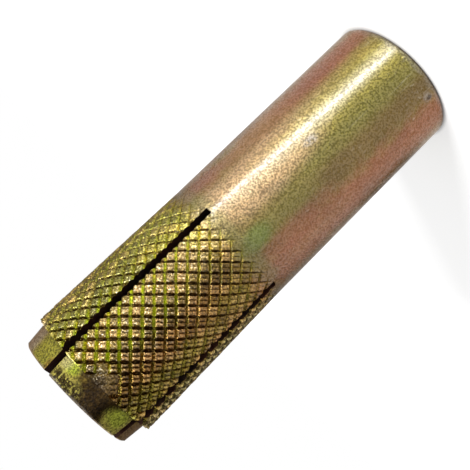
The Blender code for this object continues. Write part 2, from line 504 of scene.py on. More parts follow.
@dataclass(frozen=True)
class Knurl:
    """The diamond knurl: two families of rolled grooves that cross, deeper and taller towards the nose.

    A pair holds a size at the shank and at the nose. A sway holds how many grooves a family is moved, the
    waves round the axis, and the radians per metre along it.
    """

    start: float = 27.2 * MM
    length: float = 20.2 * MM
    around: int = 31
    rows: int = 13
    half_width: tuple[float, float] = (0.25 * MM, 0.43 * MM)
    level_width: float = 0.78
    depth: tuple[float, float] = (0.18 * MM, 0.42 * MM)
    rise: float = 0.34 * MM
    most: float = 8.2 * MM
    sways: tuple[tuple[float, float, float], ...] = ((0.035, 3.0, 900.0), (0.02, 11.0, -2300.0))
    level_sway: float = 0.6
    lip: float = 0.01 * MM
    lip_place: float = 1.15
    lip_width: float = 0.06 * MM
    level_lip: float = 0.6
    dimple: float = 0.015 * MM
    uneven: float = 0.05 * MM
    even_chance: float = 0.6
    least_top: float = 0.25
    run_in: float = 1.7 * MM
    soft_run_in: float = 3.2 * MM
    soft_azimuth: float = math.radians(27.0)
    soft_spread: float = math.radians(24.0)
    ragged_start: float = 0.35 * MM
    patch_azimuth: float = math.radians(-35.0)
    patch_width: float = 3.4 * MM
    patch_length: float = 2.3 * MM
    patch_radius: float = 7.8 * MM
    patch_relief: float = 0.25
    patch_shade: float = 0.2
    echo_azimuth: float = math.radians(-46.0)
    echo_spread: float = math.radians(34.0)
    echo_width: float = 0.55
    echo_depth: float = 0.42
    shuffle: tuple[float, float, float] = (12.9898, 78.233, 43758.5453)

    @property
    def pitch(self) -> float:
        """The distance from one groove to the next of its family, square to it."""
        around = self.around / (FULL_TURN * SLEEVE.shank_radius)
        return 1.0 / math.hypot(around, self.rows / self.length)

    def chance(self, first: np.ndarray, second: np.ndarray) -> np.ndarray:
        """A fixed number from 0 to 1 for each diamond: what follows the point of a large multiple of a sine.

        Args:
            first: the number of its groove in one family.
            second: the number of its groove in the other.

        Returns:
            The numbers.
        """
        one, two, spread = self.shuffle
        mixed = np.sin(np.mod(first, self.around) * one + np.mod(second, self.around) * two) * spread
        return mixed - np.floor(mixed)

    def groove(self, count: np.ndarray, half_width: np.ndarray) -> tuple[np.ndarray, np.ndarray]:
        """One family's grooves: a quarter of a sine wave from the floor to a round edge, and a lip past it.

        Args:
            count: the number of grooves passed, whole at each groove's floor.
            half_width: half a groove's width.

        Returns:
            The height, 0 at the floor and 1 from the edge on, and the lip's height, 1 at its top.
        """
        off = np.abs(count - np.round(count)) * self.pitch
        across = np.clip(off / half_width, 0.0, 1.0)
        return np.sin(0.5 * math.pi * across), bell(off - self.lip_place * half_width, self.lip_width)

    def rolled(self, azimuth: np.ndarray, height: np.ndarray, diamond: np.ndarray) -> np.ndarray:
        """How far the knurl is rolled in: a smooth step from its start, longer on the soft side.

        Args:
            azimuth: azimuths of the grid.
            height: heights of the grid.
            diamond: each diamond's number, which moves its own start.

        Returns:
            The share, 0 at the start and 1 where the knurl is whole.
        """
        soft = bell(turned(azimuth, self.soft_azimuth), self.soft_spread)
        run_in = self.run_in + (self.soft_run_in - self.run_in) * soft
        return smooth((height - self.start - self.ragged_start * (diamond - 0.5)) / run_in)

    def bare(self, steep: np.ndarray, level: np.ndarray) -> np.ndarray:
        """Whether a diamond belongs to the unrolled patch: its middle lies in half an ellipse below the nose.

        Args:
            steep: the number of steep grooves passed.
            level: the number of level grooves passed.

        Returns:
            True in the patch.
        """
        turns = (np.floor(steep) + np.floor(level) + 1.0) / 2.0
        rows = (np.floor(steep) - np.floor(level)) / 2.0
        across = turned(turns * FULL_TURN / self.around, self.patch_azimuth) * SLEEVE.shank_radius
        below = SLEEVE.nose_start - self.start - rows * self.length / self.rows
        return np.hypot(across / (self.patch_width / 2), below / self.patch_length) < 1.0

    def relief(self, azimuth: np.ndarray, height: np.ndarray) -> tuple[np.ndarray, dict[str, np.ndarray]]:
        """The knurl's radius: the lower of the two families, on a crest that rises evenly towards the nose.

        The lips, a dimple in each diamond, an echo of one family where the roll slipped, and an unrolled
        patch are laid over it.

        Args:
            azimuth: azimuths of the grid.
            height: heights of the grid.

        Returns:
            The radius, and by name how deep each point lies in each family, and its diamond's number.
        """
        along = np.clip((height - self.start) / self.length, 0.0, 1.0)
        turns = azimuth * self.around / FULL_TURN
        rows = (height - self.start) * self.rows / self.length
        sway = sum(size * np.sin(waves * azimuth + climb * height) for size, waves, climb in self.sways)
        steep = turns + rows + sway
        level = turns - rows + self.level_sway * sway
        width = self.half_width[0] + (self.half_width[1] - self.half_width[0]) * along
        depth = self.depth[0] + (self.depth[1] - self.depth[0]) * along
        one, one_lip = self.groove(steep, width)
        two, two_lip = self.groove(level, self.level_width * width)
        echo, _ = self.groove(level + 0.5, self.echo_width * width)
        slip = bell(turned(azimuth, self.echo_azimuth), self.echo_spread)
        two = np.minimum(two, 1.0 - (1.0 - echo) * self.echo_depth * slip)
        lowest = np.minimum(one, two)
        diamond = self.chance(np.floor(steep), np.floor(level))
        middle = (np.sin(math.pi * steep) * np.sin(math.pi * level)) ** 2
        crest = SLEEVE.shank_radius + self.rise * along
        top = (self.lip * (one_lip + self.level_lip * two_lip) - self.dimple * middle
               + self.uneven * (diamond - self.even_chance))
        top = top * (self.least_top + (1.0 - self.least_top) * along)
        rolled = self.rolled(azimuth, height, diamond)
        radius = crest + (top * lowest - depth * (1.0 - lowest)) * rolled
        bare = self.bare(steep, level)
        radius = np.where(bare, self.patch_radius + self.patch_relief * (radius - crest), radius)
        shown = np.where(bare, self.patch_shade, rolled)
        masks = {"steep_groove": (1.0 - one) * shown, "level_groove": (1.0 - two) * shown,
                 "diamond": diamond * shown}
        return np.minimum(radius, self.most), masks


KNURL = Knurl()


def make_piece(name: str, points: np.ndarray, faces: list[np.ndarray],
               sharp: float = math.radians(38.0)) -> bpy.types.Object:
    """Turn arrays of points and faces into an object, smooth but for its sharp edges.

    Args:
        name: the piece's name.
        points: one row a point.
        faces: arrays of faces, each with one row a face.
        sharp: the angle past which an edge is sharp.

    Returns:
        The object, with its place in its mesh.
    """
    mesh = bpy.data.meshes.new(name)
    mesh.from_pydata(points.tolist(), [], [row for block in faces for row in block.tolist()])
    mesh.shade_smooth()
    mesh.set_sharp_from_angle(angle=sharp)
    made = bpy.data.objects.new(name, mesh)
    bpy.context.scene.collection.objects.link(made)
    return made


def grid_faces(rows: int, columns: int, close_rows: bool = False) -> np.ndarray:
    """The four corners of each square of a grid that is closed along its rows.

    Args:
        rows: the number of rows of points.
        columns: the points in a row.
        close_rows: whether the last row joins the first.

    Returns:
        One row a face, turned to the left of the way from row to row.
    """
    low = np.arange(rows if close_rows else rows - 1)[:, None]
    here = np.arange(columns)[None, :]
    high = (low + 1) % rows
    after = (here + 1) % columns
    corners = (low * columns + here, low * columns + after, high * columns + after, high * columns + here)
    return np.stack(np.broadcast_arrays(*corners), axis=-1).reshape(-1, 4)


def fan_faces(centre: int, first: int, columns: int) -> np.ndarray:
    """Triangles that close a ring from its centre, facing up the axis.

    Args:
        centre: the centre's number among the points.
        first: the number of the ring's first point.
        columns: the points in the ring.

    Returns:
        One row a face.
    """
    here = np.arange(columns)
    return np.stack((np.full_like(here, centre), first + here, first + (here + 1) % columns), axis=-1)


def around_axis(radius: np.ndarray, azimuth: np.ndarray, height: np.ndarray) -> np.ndarray:
    """Points from radius, azimuth and height: the radius times the azimuth's cosine and sine, and the height.

    Args:
        radius: radii of the grid.
        azimuth: azimuths of the grid.
        height: heights of the grid.

    Returns:
        One row a point, row after row of the grid.
    """
    grids = np.broadcast_arrays(radius * np.cos(azimuth), radius * np.sin(azimuth), height)
    return np.stack(grids, axis=-1).reshape(-1, 3)


def keep_at_points(piece: bpy.types.Object, name: str, values: np.ndarray) -> None:
    """Store one number for each point of the mesh, which a material reads by its name."""
    made = piece.data.attributes.new(name, "FLOAT", "POINT")
    made.data.foreach_set("value", values.astype(np.float32).ravel())


@dataclass
class Leg:
    """One of the four legs between the saw cuts: a closed section carried along the axis."""

    number: int
    first: float
    last: float
    column: float = math.radians(0.45)
    wall_steps: int = 4
    bore_steps: int = 16
    row: float = 0.0625 * MM
    nose_rows: int = 12
    slot_margin: float = 0.02 * MM
    knurl_margin: float = 0.12 * MM
    nose_margin: float = 0.1 * MM
    step: tuple[float, float] = (-0.07 * MM, 0.03 * MM)
    passes: int = 3

    def heights(self) -> np.ndarray:
        """Spread the sections: one at the cut's end, close rows on the knurl, the step, and the nose.

        Returns:
            Their heights.
        """
        knurled = KNURL.length - self.knurl_margin
        knurl = KNURL.start + np.linspace(0.0, knurled, round(knurled / self.row) + 1)
        knurl = knurl[knurl > SLEEVE.slot_start + self.slot_margin]
        below, above = (SLEEVE.nose_start + off for off in self.step)
        nose = np.linspace(above, SLEEVE.length - SLEEVE.tip_bore_chamfer, self.nose_rows)
        end = (SLEEVE.length - SLEEVE.tip_chamfer, SLEEVE.length)
        return np.concatenate(((SLEEVE.slot_start,), knurl, (below,), nose, end))

    def outside(self, azimuth: np.ndarray, height: np.ndarray) -> tuple[np.ndarray, dict[str, np.ndarray]]:
        """The outer radius: the knurl's relief up to the step and the nose's cone past it.

        Args:
            azimuth: azimuths of the grid.
            height: heights of the grid.

        Returns:
            The radius, and the knurl's masks, 0 on the nose.
        """
        radius, masks = KNURL.relief(azimuth, height)
        nose = height > SLEEVE.nose_start - self.nose_margin
        masks = {name: np.where(nose, 0.0, mask) for name, mask in masks.items()}
        return np.where(nose, SLEEVE.nose(height), radius), masks

    def build(self) -> bpy.types.Object:
        """Loft the leg: outer arc, wall, bore arc and wall make one loop, and its ends are closed.

        The saw cut's walls are flat, so an arc ends at the cut's azimuth plus the arcsine of half its width
        over the radius there.

        Returns:
            The leg, with its groove masks and its sawn faces in the second material.
        """
        height = self.heights()[:, None]
        half = SLEEVE.slot_width / 2.0
        columns = round((self.last - self.first) / self.column)
        share = np.linspace(0.0, 1.0, columns + 1)[None, :]
        radius = np.full((len(height), columns + 1), SLEEVE.shank_radius)
        for _ in range(self.passes):
            start = self.first + np.arcsin(half / radius[:, :1])
            end = self.last - np.arcsin(half / radius[:, -1:])
            azimuth = start + (end - start) * share
            radius, masks = self.outside(azimuth, height)
        bore = SLEEVE.bore(height)
        inset = np.arcsin(half / bore)
        back = np.linspace(1.0, 0.0, self.bore_steps + 1)[None, :]
        bore_azimuth = self.first + inset + (self.last - self.first - 2.0 * inset) * back
        outer = np.stack((radius * np.cos(azimuth), radius * np.sin(azimuth)), axis=-1)
        inner = np.stack((bore * np.cos(bore_azimuth), bore * np.sin(bore_azimuth)), axis=-1)
        steps = np.linspace(0.0, 1.0, self.wall_steps + 1)[1:-1][None, :, None]
        far_wall = outer[:, -1:] + (inner[:, :1] - outer[:, -1:]) * steps
        near_wall = inner[:, -1:] + (outer[:, :1] - inner[:, -1:]) * steps
        loop = np.concatenate((outer, far_wall, inner, near_wall), axis=1)
        rows, around = loop.shape[:2]
        points = np.concatenate((loop, np.broadcast_to(height[:, :, None], (rows, around, 1))), axis=-1)
        walls = grid_faces(rows, around)
        bottom = np.arange(around)[None, ::-1]
        top = np.arange(around)[None, :] + (rows - 1) * around
        leg = make_piece(f"knurled_leg_{self.number}", points.reshape(-1, 3), [walls, bottom, top])
        column = np.tile(np.arange(around), rows - 1)
        far = (column >= columns) & (column < columns + self.wall_steps)
        sawn = np.concatenate((far | (column >= around - self.wall_steps), (False, False)))
        leg.data.polygons.foreach_set("material_index", sawn.astype(np.int32))
        for name, mask in masks.items():
            values = np.zeros((rows, around))
            values[:, :columns + 1] = mask
            keep_at_points(leg, name, values)
        return leg


@dataclass
class Shank:
    """The plain end: the outside, the mouth's rim and countersink, the thread, and the bore to the cuts."""

    columns: int = 240
    rows_a_pitch: int = 16

    def build(self) -> bpy.types.Object:
        """Turn the closed profile: down the outside, in over the mouth, up the bore and out under the legs.

        Returns:
            The shank.
        """
        size = SLEEVE
        azimuth = all_round(self.columns)
        outside_height = np.array((27.3, 24.0, 16.0, 8.0, 2.0, 0.55, 0.26, 0.19, 0.06, 0.0, 0.0)) * MM
        inward = np.array((0.0, 0.0, 0.0, 0.0, 0.0, 0.0, 0.01, 0.06, 0.19, 0.26, 0.9)) * MM
        outside = (size.shank_radius - inward)[:, None] + 0.0 * azimuth
        step = size.pitch / self.rows_a_pitch
        plain = (21.0 * MM, 24.0 * MM, size.slot_start)
        bore_height = np.concatenate((np.arange(0.0, size.thread_end, step), plain))
        bore = size.thread(bore_height[:, None], azimuth)
        radius = np.concatenate((outside, bore))
        height = np.concatenate((outside_height, bore_height))[:, None]
        faces = grid_faces(len(height), self.columns, close_rows=True)[:, ::-1]
        return make_piece("anchor_shank", around_axis(radius, azimuth, height), [faces])


@dataclass
class Plug:
    """The expander plug: a shoulder in the plain bore and a cone that matches the taper."""

    bottom: float = 24.0 * MM
    top: float = 39.0 * MM
    gap: float = 0.3 * MM
    chamfer: float = 0.4 * MM
    end_rings: tuple[float, float] = (0.3, 0.75)
    shoulder_rings: int = 12
    cone_rings: int = 24
    cone_start: float = 0.2 * MM
    columns: int = 96

    def build(self) -> bpy.types.Object:
        """Turn the profile: the bore's radius less the gap, with chamfers and a centre at each end.

        Returns:
            The plug.
        """
        shoulder = np.linspace(self.bottom + self.chamfer, SLEEVE.taper_start, self.shoulder_rings)
        cone = np.linspace(SLEEVE.taper_start + self.cone_start, self.top - self.chamfer, self.cone_rings)
        side = np.concatenate((shoulder, cone))
        side_radius = SLEEVE.bore(side) - self.gap
        ends = np.array(self.end_rings) * (side_radius[0] - self.chamfer)
        low = np.concatenate((ends, (side_radius[0] - self.chamfer,)))
        upper_ends = ends[::-1] * side_radius[-1] / side_radius[0]
        high = np.concatenate(((side_radius[-1] - self.chamfer,), upper_ends))
        radius = np.concatenate((low, side_radius, high))[:, None]
        height = np.concatenate((np.full(3, self.bottom), side, np.full(3, self.top)))[:, None]
        centres = ((0.0, 0.0, self.bottom), (0.0, 0.0, self.top))
        points = np.concatenate((around_axis(radius, all_round(self.columns), height), centres))
        rows = len(radius)
        foot = fan_faces(rows * self.columns, 0, self.columns)[:, (0, 2, 1)]
        head = fan_faces(rows * self.columns + 1, (rows - 1) * self.columns, self.columns)
        return make_piece("wedge_plug", points, [grid_faces(rows, self.columns), foot, head])


def wrapped_group() -> bpy.types.NodeTree:
    """Object coordinates carried out to the shank's surface, so that a pattern ignores the relief.

    On the flat ends and in the bore, what a point lies deeper than the margin is added to its height, so that
    the pattern runs on there and isn't smeared towards the axis.

    Returns:
        The node group.
    """
    margin = 0.7 * MM
    graph, given, result = open_group("wrapped_on_shank", {"Position": "Vector"}, {"Wrapped": "Vector"})
    flat = graph.vector("MULTIPLY", given["Position"], (1.0, 1.0, 0.0)).outputs[0]
    outward = graph.vector("NORMALIZE", flat).outputs[0]
    carried = graph.vector("MULTIPLY", outward, (SLEEVE.shank_radius,) * 3).outputs[0]
    upright = graph.vector("MULTIPLY", given["Position"], (0.0, 0.0, 1.0)).outputs[0]
    reach = graph.vector("LENGTH", flat).outputs["Value"]
    inward = graph.node("CombineXYZ")
    deeper = graph.math("MAXIMUM", graph.math("SUBTRACT", SLEEVE.shank_radius - margin, reach), 0.0)
    graph.put(inward.inputs["Z"], deeper)
    raised = graph.vector("ADD", upright, inward.outputs[0]).outputs[0]
    graph.put(result.inputs["Wrapped"], graph.vector("ADD", carried, raised).outputs[0])
    return graph.tree


def zone_group() -> bpy.types.NodeTree:
    """A rounded zone: 1 inside the ellipsoid round a centre, 0 outside, with a soft or ragged edge.

    Returns:
        The node group.
    """
    graph, given, result = open_group(
        "colour_zone",
        {"Wrapped": "Vector", "Centre": "Vector", "Reach": "Vector", "Ragged": "Float", "Softness": "Float"},
        {"Mask": "Float"})
    off = graph.vector("SUBTRACT", given["Wrapped"], given["Centre"]).outputs[0]
    share = graph.vector("DIVIDE", off, given["Reach"]).outputs[0]
    far = graph.vector("LENGTH", share).outputs["Value"]
    rough = graph.math("ADD", far, given["Ragged"])
    low = graph.math("SUBTRACT", 1.0, given["Softness"])
    high = graph.math("ADD", 1.0, given["Softness"])
    graph.put(result.inputs["Mask"], graph.ramp(rough, low, high, 1.0, 0.0))
    return graph.tree


def plating_group() -> bpy.types.NodeTree:
    """The plating's own variation: cloudy patches, a fine grain, worn specks and scratches along the axis.

    Returns:
        The node group.
    """
    graph, given, result = open_group(
        "plating_variation", {"Wrapped": "Vector"},
        {"Cloud": "Float", "Grain": "Float", "Specks": "Float", "Scratches": "Float"})
    place = given["Wrapped"]
    for name, pattern in (("Cloud", Pattern.CLOUD), ("Grain", Pattern.GRAIN)):
        graph.fill(result, {name: graph.noise(place, pattern)})
    marks = {
        "Specks": {Pattern.SPECKS: Step(0.60, 0.70), Pattern.SPECKED_PLACES: Step(0.48, 0.66)},
        "Scratches": {Pattern.SCRATCHES: Step(0.66, 0.74), Pattern.SCRATCHED_PLACES: Step(0.5, 0.62)}}
    for name, steps in marks.items():
        shares = [graph.step(graph.noise(place, pattern), step) for pattern, step in steps.items()]
        graph.fill(result, {name: graph.math("MULTIPLY", *shares)})
    return graph.tree


class Tint(Enum):
    """The plating's colours, from the pink and green bands to the burnt patches, and tints that paint
    highlight, sheen and shade.
    """

    HONEY = srgb(145, 122, 51)
    STRAW = srgb(160, 152, 57)
    TAN = srgb(156, 108, 56)
    ROSE = srgb(155, 88, 57)
    SHELL = srgb(184, 150, 112)
    OLIVE = srgb(135, 126, 42)
    UMBER = srgb(120, 92, 33)
    MOSS = srgb(112, 114, 50)
    # The nose's green, and the painted highlight on lit groove walls.
    LIME = srgb(196, 214, 66)
    GOLD = srgb(190, 178, 84)
    LEAF = srgb(134, 138, 48)
    GRASS = srgb(112, 130, 42)
    BROWN = srgb(98, 74, 34)
    FERN = srgb(120, 116, 50)
    CLAY = srgb(158, 124, 84)
    # Burnt patches, and the painted shade in the level grooves.
    BURNT_AND_SHADE = srgb(52, 36, 12)
    # Painted shade for the mouth's rim.
    RIM_SHADE = srgb(74, 66, 52)
    BARE = srgb(166, 158, 146)
    PALE = srgb(226, 218, 196)
    # Painted highlight and sheen.
    SHEEN = srgb(190, 180, 146)


@dataclass(frozen=True)
class Zone:
    """A patch of another colour, placed by its side in degrees and its height in millimetres."""

    tint: Tint
    side: float
    height: float
    half_side: float
    half_height: float
    share: float = 1.0
    softness: float = 0.5
    ragged: float = 0.5
    mottle: float = 0.0

    def centre(self) -> tuple[float, float, float]:
        """Place the zone on the shank's surface: the shank's radius times its side's cosine and sine.

        Returns:
            The zone's middle.
        """
        azimuth = VIEW.azimuth + math.radians(self.side)
        radius = SLEEVE.shank_radius
        return (radius * math.cos(azimuth), radius * math.sin(azimuth), self.height * MM)

    def reach(self) -> tuple[float, float, float]:
        """The zone's half sizes: the chord of its half side across the axis, and its half height along it."""
        chord = 2.0 * SLEEVE.shank_radius * math.sin(math.radians(self.half_side) / 2.0)
        return (chord, chord, self.half_height * MM)


# Where the steep grooves' walls get a lime painted highlight, and the tops get painted glints.
LIT_BELT = Zone(Tint.LIME, 15.0, 42.0, 22.0, 13.0, 0.65, 0.6)
# Where the level grooves get dark brown painted shade.
GROOVE_SHADE_BELT = Zone(Tint.BURNT_AND_SHADE, 5.0, 38.0, 60.0, 30.0, 0.72, 0.25)
# Round the streak, where the grain is painted much lighter and darker: painted sparkle of the highlight.
GLINT_BELT = Zone(Tint.PALE, 16.0, 14.0, 26.0, 30.0, 1.0, 0.6)
CLOUDY_BELT = Zone(Tint.GOLD, -42.0, 48.8, 15.0, 1.6, 0.35, 0.35)


@dataclass(frozen=True)
class Effects:
    """The node groups that the finishes share."""

    wrapped: bpy.types.NodeTree
    zone: bpy.types.NodeTree
    plating: bpy.types.NodeTree


@dataclass(frozen=True)
class Plating:
    """What the plating reads at a point: its place on the shank's surface, and masks of knurl and nose."""

    graph: Graph
    effects: Effects
    wrapped: Socket
    upper: Socket
    nose: Socket

    def mask(self, zone: Zone, ragged: object = 0.0) -> Socket:
        """The mask of a zone.

        Args:
            zone: the zone.
            ragged: what roughens its edge; with nothing, the edge is even.

        Returns:
            The mask.
        """
        return self.graph.group(self.effects.zone, Wrapped=self.wrapped, Centre=zone.centre(),
                                Reach=zone.reach(), Ragged=ragged, Softness=zone.softness).outputs["Mask"]


@dataclass(frozen=True)
class KnurlLook:
    """The knurl's colouring, much of it painted light and shade: painted highlights and shade in the grooves,
    painted glints on lit tops, and dots of painted glint and shade; a pair of dots holds their shade on the
    shank and on the knurl.
    """

    steep: Step = Step(0.14, 0.56)
    level: Step = Step(0.14, 0.6)
    clay_tops: Step = Step(0.45, 0.95, 0.0, 0.3)
    top_shades: tuple[float, float] = (0.8, 1.25)
    dot_limits: tuple[float, float] = (0.34, 0.66)
    shade_dots: tuple[float, float] = (0.92, 0.42)
    glint_dots: tuple[float, float] = (1.1, 1.75)
    glint_step: Step = Step(0.56, 0.66)
    glinting_tops: Step = Step(0.0, 0.4, 0.7, 0.0)
    groove_light_drift: Step = Step(0.35, 0.65, 0.6, 1.0)
    least_groove_light: float = 0.08
    least_groove_shade: float = 0.25


@dataclass(frozen=True)
class PlatedFinish:
    """Yellow chromate over zinc: a satin metal with drifting colours, painted shade and painted highlights in
    the grooves, and painted glints on the crests and in the grain round the highlight.
    """

    name: str
    base: Tint
    zones: tuple[Zone, ...]
    upper_zones: tuple[Zone, ...] = ()
    upper_coat: float = 0.4
    upper_from: tuple[float, float] = (27.6 * MM, 30.6 * MM)
    upper_ragged: float = 4.0 * MM
    knurl: KnurlLook = KnurlLook()
    nose_blend: float = 0.2 * MM
    nose_coat: float = 0.6
    nose_grain: float = 0.25
    mottle_limits: tuple[float, float] = (0.5, 0.6)
    cloud_shade: Step = Step(0.3, 0.7, 0.75, 0.9)
    grain_limits: tuple[float, float] = (0.4, 0.6)
    dark_grain: tuple[float, float] = (0.88, 0.66)
    pale_grain: tuple[float, float] = (1.12, 1.34)
    roughness: float = 0.22
    uneven: float = 0.05
    grain_coat: Step = Step(0.42, 0.56, 0.4, 1.0)
    groove_coat: Step = Step(0.05, 0.4, 1.0, 0.25)
    coat_roughness: float = 0.185
    coat_ior: float = 1.6
    edge_tint: Colour = (0.85, 0.6, 0.42)
    grain_depth: float = 0.095 * MM
    specks: float = 0.18
    scratches: float = 0.12

    def build(self, effects: Effects) -> bpy.types.Material:
        """Lay the zones over the base in order, then the grooves, specks and scratches.

        Args:
            effects: the shared node groups.

        Returns:
            The material.
        """
        material, graph, shader = open_material(self.name)
        position = graph.node("TexCoord").outputs["Object"]
        wrapped = graph.group(effects.wrapped, Position=position).outputs["Wrapped"]
        ragged = graph.math("SUBTRACT", graph.noise(wrapped, Pattern.RAGGED_EDGE), 0.5)
        height = graph.height_of(wrapped)
        moved = graph.math("ADD", height, graph.math("MULTIPLY", ragged, self.upper_ragged))
        nose = graph.ramp(height, SLEEVE.nose_start - self.nose_blend, SLEEVE.nose_start)
        plating = Plating(graph, effects, wrapped, graph.ramp(moved, *self.upper_from), nose)
        variation = graph.group(effects.plating, Wrapped=wrapped).outputs
        grain = variation["Grain"]
        # The grain's tone swings further round the highlight: painted sparkle.
        grain_glint_share = plating.mask(GLINT_BELT)
        fine = graph.ramp(grain, *self.grain_limits, graph.between(grain_glint_share, *self.dark_grain),
                          graph.between(grain_glint_share, *self.pale_grain))
        shade = graph.math("MULTIPLY", graph.step(variation["Cloud"], self.cloud_shade), fine)
        colour = self.over_grooves(plating, graph.shaded(self.zoned(plating, ragged), shade))
        for mark, share in (("Specks", self.specks), ("Scratches", self.scratches)):
            colour = graph.blend(graph.math("MULTIPLY", variation[mark], share), colour, Tint.PALE.value)
        dull, bright = self.roughness + self.uneven, self.roughness - self.uneven
        graph.fill(shader, {
            "Base Color": colour,
            "Roughness": graph.ramp(grain, *self.grain_limits, dull, bright),
            "Metallic": graph.between(plating.mask(CLOUDY_BELT), 1.0, 1.0 - CLOUDY_BELT.share),
            "Specular Tint": self.edge_tint,
            "Coat Weight": self.coating(plating, grain),
            "Coat Roughness": self.coat_roughness,
            "Coat IOR": self.coat_ior})
        rough = graph.math("MULTIPLY", grain, graph.between(nose, 1.0, self.nose_grain))
        graph.bump(shader, rough, self.grain_depth)
        return material

    def zoned(self, plating: Plating, ragged: Socket) -> Socket:
        """The base under its zones; the upper ones show on the knurl and nose only.

        Args:
            plating: what the plating reads.
            ragged: the noise that roughens the zones' edges, between -0.5 and 0.5.

        Returns:
            The colour.
        """
        graph = plating.graph
        mottling = graph.noise(plating.wrapped, Pattern.MOTTLE)
        colour = self.base.value
        for zone in self.zones + self.upper_zones:
            mask = plating.mask(zone, graph.math("MULTIPLY", ragged, 2.0 * zone.ragged))
            if zone.mottle:
                kept = graph.ramp(mottling, *self.mottle_limits, 1.0, 1.0 - zone.mottle)
                mask = graph.math("MULTIPLY", mask, kept)
            if zone in self.upper_zones:
                mask = graph.math("MULTIPLY", mask, plating.upper)
            colour = graph.blend(graph.math("MULTIPLY", mask, zone.share), colour, zone.tint.value)
        return colour

    def coating(self, plating: Plating, grain: Socket) -> Socket:
        """The clear coat's weight: less in the grain's pits, on the knurl, in its grooves and on the nose.

        Args:
            plating: what the plating reads.
            grain: the fine grain.

        Returns:
            The weight.
        """
        graph = plating.graph
        weight = graph.step(grain, self.grain_coat)
        if self.upper_zones:
            cut = graph.math("ADD", graph.attribute("steep_groove"), graph.attribute("level_groove"))
            for share in (graph.between(plating.upper, 1.0, self.upper_coat),
                          graph.step(cut, self.groove_coat),
                          graph.between(plating.nose, 1.0, self.nose_coat)):
                weight = graph.math("MULTIPLY", weight, share)
        return weight

    def over_grooves(self, plating: Plating, colour: Socket) -> Socket:
        """Vary the knurl's tops, and paint light and shade into its grooves: a lime painted highlight in the
        steep family, dark brown painted shade in the level one, and painted glints on lit tops.

        Args:
            plating: what the plating reads.
            colour: the colour so far.

        Returns:
            The colour with its grooves.
        """
        graph, upper, look = plating.graph, plating.upper, self.knurl
        steep = graph.step(graph.attribute("steep_groove"), look.steep)
        level = graph.step(graph.attribute("level_groove"), look.level)
        top = graph.attribute("diamond")
        colour = graph.blend(graph.step(top, look.clay_tops), colour, Tint.CLAY.value)
        # Fine dots, mild on the shank and much darker and lighter on the knurl: painted glints and shade of
        # its relief.
        dots = graph.noise(plating.wrapped, Pattern.SPECKLE)
        speckle = graph.ramp(dots, *look.dot_limits, graph.between(upper, *look.shade_dots),
                             graph.between(upper, *look.glint_dots))
        colour = graph.shaded(colour, graph.math("MULTIPLY", graph.between(top, *look.top_shades), speckle))
        lit = plating.mask(LIT_BELT)
        # Pale flecks on the tops in the lit belt: painted glints.
        glint = graph.step(dots, look.glint_step)
        for share in (lit, graph.between(plating.nose, 1.0, 0.0), upper,
                      graph.step(graph.math("ADD", steep, level), look.glinting_tops)):
            glint = graph.math("MULTIPLY", glint, share)
        colour = graph.blend(glint, colour, Tint.PALE.value)
        # Lime on the steep grooves' walls, most in the lit belt: painted highlight.
        drift = graph.step(graph.noise(plating.wrapped, Pattern.GROOVE_LIGHT_DRIFT), look.groove_light_drift)
        share = graph.math("MULTIPLY", drift, graph.between(lit, look.least_groove_light, LIT_BELT.share))
        colour = graph.blend(graph.math("MULTIPLY", steep, share), colour, Tint.LIME.value)
        # Dark brown in the level grooves, most in the shade belt: painted shade.
        share = graph.between(plating.mask(GROOVE_SHADE_BELT), look.least_groove_shade, GROOVE_SHADE_BELT.share)
        return graph.blend(graph.math("MULTIPLY", level, share), colour, Tint.BURNT_AND_SHADE.value)


@dataclass(frozen=True)
class SawnFinish:
    """The saw cuts' walls: dull, with painted shade that makes them nearly black, and fine marks across."""

    name: str = "sawn_walls"
    shade_tones: tuple[Colour, Colour] = (srgb(34, 22, 16), srgb(62, 30, 20))
    mark: Colour = srgb(88, 70, 46)
    shade_mix: Step = Step(0.35, 0.65)
    marked: Step = Step(0.5, 0.8, 0.0, 0.4)
    roughness: Step = Step(0.3, 0.7, 0.5, 0.68)
    metallic: float = 0.7
    depth: float = 0.02 * MM

    def build(self, effects: Effects) -> bpy.types.Material:
        """Mix two dark tones of painted shade by a noise, and lay on marks from a noise that is stretched
        along the cut.

        Args:
            effects: the shared node groups.

        Returns:
            The material.
        """
        material, graph, shader = open_material(self.name)
        position = graph.node("TexCoord").outputs["Object"]
        marks = graph.noise(position, Pattern.SAW_MARKS)
        # Two dark tones: the painted shade of the narrow cut.
        cut_shade = graph.blend(graph.step(graph.noise(position, Pattern.CUT_SHADE), self.shade_mix), *self.shade_tones)
        graph.fill(shader, {
            "Base Color": graph.blend(graph.step(marks, self.marked), cut_shade, self.mark),
            "Roughness": graph.step(marks, self.roughness),
            "Metallic": self.metallic})
        graph.bump(shader, marks, self.depth)
        return material


